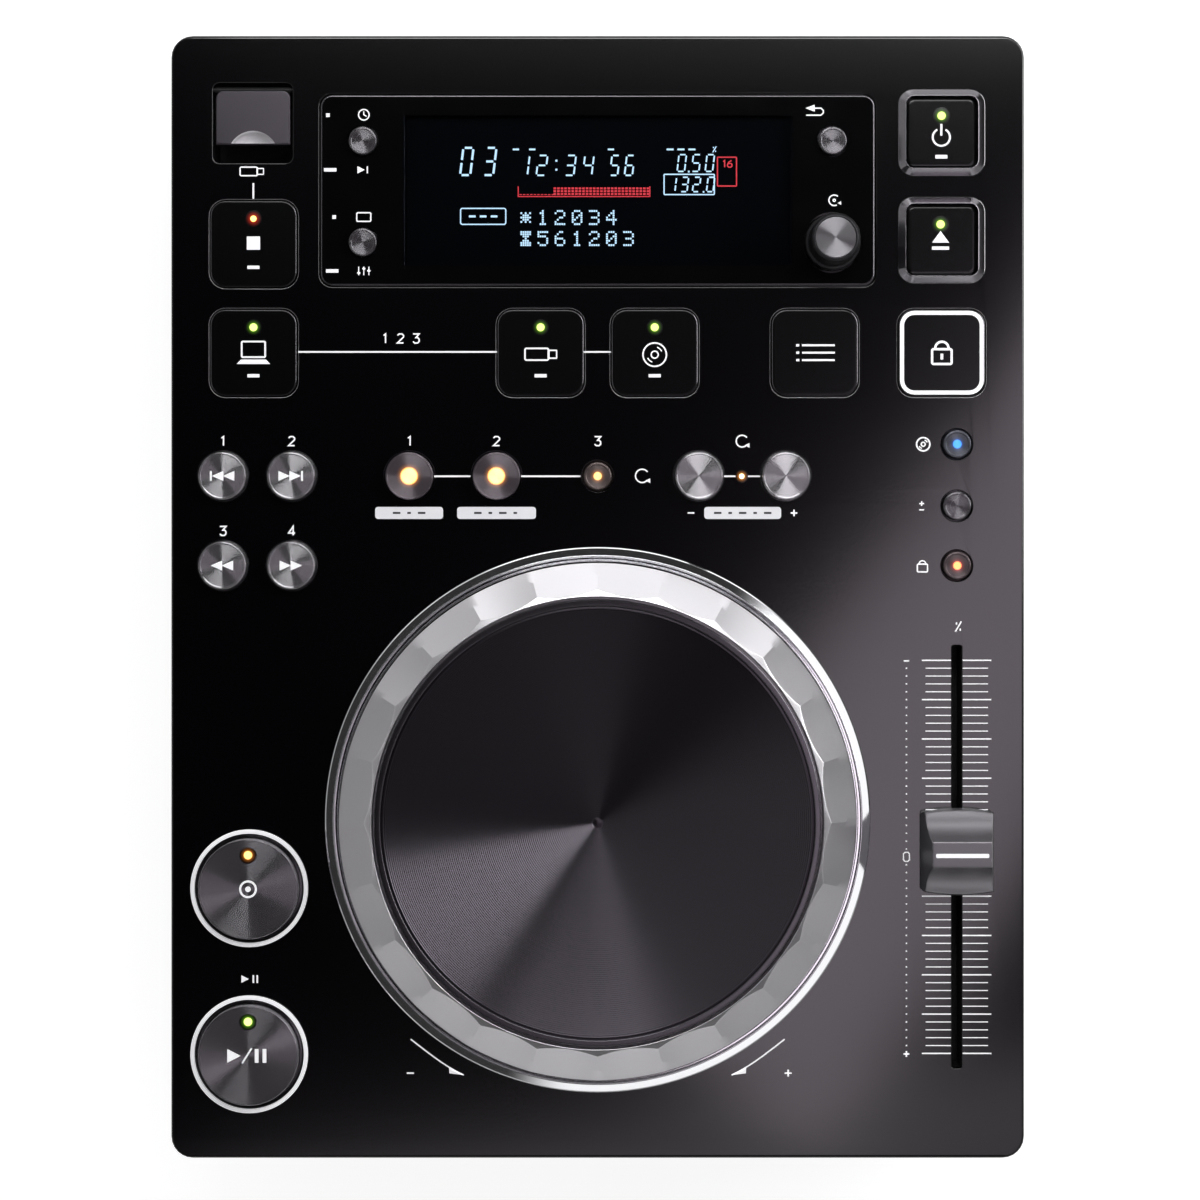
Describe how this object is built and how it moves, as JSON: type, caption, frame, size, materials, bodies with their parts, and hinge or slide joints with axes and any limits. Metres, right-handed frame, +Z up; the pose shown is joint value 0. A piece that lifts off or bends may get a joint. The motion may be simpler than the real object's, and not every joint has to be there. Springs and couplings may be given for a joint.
{
  "type": "tabletop disc player",
  "caption": "Tabletop disc player for mixing, with a scalloped jog dial, tempo fader, push keys, display window and slot-in disc mechanism.",
  "frame": {"origin": "middle of the footprint, on the surface that the feet stand on", "axes": "+Z up, +Y to the rear where the connectors are, +X to the right seen from the front"},
  "size_m": [0.2186, 0.2874, 0.108],
  "materials": {
    "case_black": "satin moulded black",
    "key_black": "satin black key top",
    "small_button_black": "polished dark button",
    "silver_button": "spun silver face",
    "dark_spun": "spun dark metal face",
    "ring_white": "white ring",
    "dial_silver": "silver lacquered facets",
    "disc_dark": "fine concentric grooves",
    "ring_chrome": "polished",
    "window_smoke": "smoked, polished",
    "display_face": "dark display face",
    "board_green": "circuit board",
    "sheet_steel": "plated sheet",
    "shaft_steel": "ground shaft",
    "foot_rubber": "matt rubber",
    "roller_rubber": "matt rubber",
    "inlet_black": "moulded black",
    "fader_silver": "silver lacquered cap",
    "sled_grey": "moulded grey",
    "rotor_white": "white moulding"
  },
  "bodies": {
    "player_body": {"case_shell": "case_black", "top_panel": "case_black", "rear_panel": "sheet_steel", "bottom_plate": "sheet_steel", "foot_front_left": "foot_rubber", "foot_front_right": "foot_rubber", "foot_rear_left": "foot_rubber", "foot_rear_right": "foot_rubber", "cue_ring": "ring_white", "play_ring": "ring_white", "jog_base_ring": "ring_chrome", "jog_bearing": "case_black", "display_window": "window_smoke", "display_module": "display_face", "control_board": "board_green", "fader_unit": "sheet_steel", "usb_bay": "case_black", "usb_socket": "sheet_steel", "main_board": "board_green", "power_supply": "board_green", "drive_chassis": "sheet_steel", "drive_cover": "sheet_steel", "ac_inlet": "inlet_black", "jack_board": "board_green"},
    "usb_stop_key": {"usb_stop_key": "key_black"},
    "link_key": {"link_key": "key_black"},
    "usb_key": {"usb_key": "key_black"},
    "disc_key": {"disc_key": "key_black"},
    "playlist_key": {"playlist_key": "key_black"},
    "bpm_lock_key": {"bpm_lock_key": "key_black"},
    "power_key": {"power_key": "key_black"},
    "eject_key": {"eject_key": "key_black"},
    "time_mode_button": {"time_mode_button": "small_button_black"},
    "display_button": {"display_button": "small_button_black"},
    "back_button": {"back_button": "small_button_black"},
    "reloop_button": {"reloop_button": "small_button_black"},
    "vinyl_button": {"vinyl_button": "small_button_black"},
    "tempo_range_button": {"tempo_range_button": "small_button_black"},
    "master_tempo_button": {"master_tempo_button": "small_button_black"},
    "track_back_button": {"track_back_button": "silver_button"},
    "track_next_button": {"track_next_button": "silver_button"},
    "search_back_button": {"search_back_button": "silver_button"},
    "search_next_button": {"search_next_button": "silver_button"},
    "loop_in_button": {"loop_in_button": "silver_button"},
    "loop_out_button": {"loop_out_button": "silver_button"},
    "beat_minus_button": {"beat_minus_button": "silver_button"},
    "beat_plus_button": {"beat_plus_button": "silver_button"},
    "cue_button": {"cue_button": "dark_spun"},
    "play_button": {"play_button": "dark_spun"},
    "encoder_rotor": {"encoder_rotor": "rotor_white"},
    "select_knob": {"select_knob": "dark_spun"},
    "jog_dial": {"jog_dial": "dial_silver"},
    "jog_disc": {"jog_disc": "disc_dark"},
    "fader_cap": {"fader_cap": "fader_silver"},
    "usb_flap": {"usb_flap": "case_black"},
    "traverse_frame": {"traverse_frame": "sheet_steel"},
    "turntable": {"turntable": "inlet_black"},
    "pickup_sled": {"pickup_sled": "sled_grey"},
    "lead_screw": {"lead_screw": "shaft_steel"},
    "feed_roller": {"feed_roller": "roller_rubber"}
  },
  "joints": [
    {"name": "usb_stop_key_press", "type": "slide", "parent": "player_body", "child": "usb_stop_key", "axis": [0, 0, -1], "range_m": [0, 0.0008], "stiffness_N_per_m": 600, "springref_m": -0.001},
    {"name": "link_key_press", "type": "slide", "parent": "player_body", "child": "link_key", "axis": [0, 0, -1], "range_m": [0, 0.0008], "stiffness_N_per_m": 600, "springref_m": -0.001},
    {"name": "usb_key_press", "type": "slide", "parent": "player_body", "child": "usb_key", "axis": [0, 0, -1], "range_m": [0, 0.0008], "stiffness_N_per_m": 600, "springref_m": -0.001},
    {"name": "disc_key_press", "type": "slide", "parent": "player_body", "child": "disc_key", "axis": [0, 0, -1], "range_m": [0, 0.0008], "stiffness_N_per_m": 600, "springref_m": -0.001},
    {"name": "playlist_key_press", "type": "slide", "parent": "player_body", "child": "playlist_key", "axis": [0, 0, -1], "range_m": [0, 0.0008], "stiffness_N_per_m": 600, "springref_m": -0.001},
    {"name": "bpm_lock_key_press", "type": "slide", "parent": "player_body", "child": "bpm_lock_key", "axis": [0, 0, -1], "range_m": [0, 0.0008], "stiffness_N_per_m": 600, "springref_m": -0.001},
    {"name": "power_key_press", "type": "slide", "parent": "player_body", "child": "power_key", "axis": [0, 0, -1], "range_m": [0, 0.0008], "stiffness_N_per_m": 600, "springref_m": -0.001},
    {"name": "eject_key_press", "type": "slide", "parent": "player_body", "child": "eject_key", "axis": [0, 0, -1], "range_m": [0, 0.0008], "stiffness_N_per_m": 600, "springref_m": -0.001},
    {"name": "time_mode_button_press", "type": "slide", "parent": "player_body", "child": "time_mode_button", "axis": [0, 0, -1], "range_m": [0, 0.0008], "stiffness_N_per_m": 600, "springref_m": -0.001},
    {"name": "display_button_press", "type": "slide", "parent": "player_body", "child": "display_button", "axis": [0, 0, -1], "range_m": [0, 0.0008], "stiffness_N_per_m": 600, "springref_m": -0.001},
    {"name": "back_button_press", "type": "slide", "parent": "player_body", "child": "back_button", "axis": [0, 0, -1], "range_m": [0, 0.0008], "stiffness_N_per_m": 600, "springref_m": -0.001},
    {"name": "reloop_button_press", "type": "slide", "parent": "player_body", "child": "reloop_button", "axis": [0, 0, -1], "range_m": [0, 0.0008], "stiffness_N_per_m": 600, "springref_m": -0.001},
    {"name": "vinyl_button_press", "type": "slide", "parent": "player_body", "child": "vinyl_button", "axis": [0, 0, -1], "range_m": [0, 0.0008], "stiffness_N_per_m": 600, "springref_m": -0.001},
    {"name": "tempo_range_button_press", "type": "slide", "parent": "player_body", "child": "tempo_range_button", "axis": [0, 0, -1], "range_m": [0, 0.0008], "stiffness_N_per_m": 600, "springref_m": -0.001},
    {"name": "master_tempo_button_press", "type": "slide", "parent": "player_body", "child": "master_tempo_button", "axis": [0, 0, -1], "range_m": [0, 0.0008], "stiffness_N_per_m": 600, "springref_m": -0.001},
    {"name": "track_back_button_press", "type": "slide", "parent": "player_body", "child": "track_back_button", "axis": [0, 0, -1], "range_m": [0, 0.0008], "stiffness_N_per_m": 600, "springref_m": -0.001},
    {"name": "track_next_button_press", "type": "slide", "parent": "player_body", "child": "track_next_button", "axis": [0, 0, -1], "range_m": [0, 0.0008], "stiffness_N_per_m": 600, "springref_m": -0.001},
    {"name": "search_back_button_press", "type": "slide", "parent": "player_body", "child": "search_back_button", "axis": [0, 0, -1], "range_m": [0, 0.0008], "stiffness_N_per_m": 600, "springref_m": -0.001},
    {"name": "search_next_button_press", "type": "slide", "parent": "player_body", "child": "search_next_button", "axis": [0, 0, -1], "range_m": [0, 0.0008], "stiffness_N_per_m": 600, "springref_m": -0.001},
    {"name": "loop_in_button_press", "type": "slide", "parent": "player_body", "child": "loop_in_button", "axis": [0, 0, -1], "range_m": [0, 0.0008], "stiffness_N_per_m": 600, "springref_m": -0.001},
    {"name": "loop_out_button_press", "type": "slide", "parent": "player_body", "child": "loop_out_button", "axis": [0, 0, -1], "range_m": [0, 0.0008], "stiffness_N_per_m": 600, "springref_m": -0.001},
    {"name": "beat_minus_button_press", "type": "slide", "parent": "player_body", "child": "beat_minus_button", "axis": [0, 0, -1], "range_m": [0, 0.0008], "stiffness_N_per_m": 600, "springref_m": -0.001},
    {"name": "beat_plus_button_press", "type": "slide", "parent": "player_body", "child": "beat_plus_button", "axis": [0, 0, -1], "range_m": [0, 0.0008], "stiffness_N_per_m": 600, "springref_m": -0.001},
    {"name": "cue_button_press", "type": "slide", "parent": "player_body", "child": "cue_button", "axis": [0, 0, -1], "range_m": [0, 0.0014], "stiffness_N_per_m": 600, "springref_m": -0.001},
    {"name": "play_button_press", "type": "slide", "parent": "player_body", "child": "play_button", "axis": [0, 0, -1], "range_m": [0, 0.0014], "stiffness_N_per_m": 600, "springref_m": -0.001},
    {"name": "select_turn", "type": "hinge", "parent": "player_body", "child": "encoder_rotor", "pos_m": [0.06015, 0.09075, 0.0834], "axis": [0, 0, 1], "continuous": true},
    {"name": "select_press", "type": "slide", "parent": "encoder_rotor", "child": "select_knob", "axis": [0, 0, -1], "range_m": [0, 0.0009], "stiffness_N_per_m": 900, "springref_m": -0.001},
    {"name": "jog_turn", "type": "hinge", "parent": "player_body", "child": "jog_dial", "pos_m": [0, -0.057, 0.1], "axis": [0, 0, 1], "continuous": true},
    {"name": "jog_disc_press", "type": "slide", "parent": "jog_dial", "child": "jog_disc", "axis": [0, 0, -1], "range_m": [0, 0.0005], "stiffness_N_per_m": 4000, "springref_m": -0.0005},
    {"name": "tempo_slide", "type": "slide", "parent": "player_body", "child": "fader_cap", "axis": [0, 1, 0], "range_m": [-0.0516, 0.0484]},
    {"name": "usb_flap_hinge", "type": "hinge", "parent": "player_body", "child": "usb_flap", "pos_m": [-0.08835, 0.13, 0.0894], "axis": [-1, 0, 0], "range_deg": [0, 100]},
    {"name": "traverse_lift", "type": "slide", "parent": "player_body", "child": "traverse_frame", "axis": [0, 0, 1], "range_m": [0, 0.0042]},
    {"name": "spindle_turn", "type": "hinge", "parent": "traverse_frame", "child": "turntable", "pos_m": [0, -0.072, 0.033], "axis": [0, 0, 1], "continuous": true},
    {"name": "sled_slide", "type": "slide", "parent": "traverse_frame", "child": "pickup_sled", "axis": [0, 1, 0], "range_m": [0, 0.034]},
    {"name": "lead_screw_turn", "type": "hinge", "parent": "traverse_frame", "child": "lead_screw", "pos_m": [0.029, -0.031, 0.0303], "axis": [0, 1, 0], "range_deg": [0, 2041]},
    {"name": "feed_roller_turn", "type": "hinge", "parent": "player_body", "child": "feed_roller", "pos_m": [0, -0.12555, 0.0332], "axis": [1, 0, 0], "continuous": true}
  ],
  "couplings": [
    {"joint": "lead_screw_turn", "follows": "sled_slide", "rad_per_m": 1047.2}
  ]
}
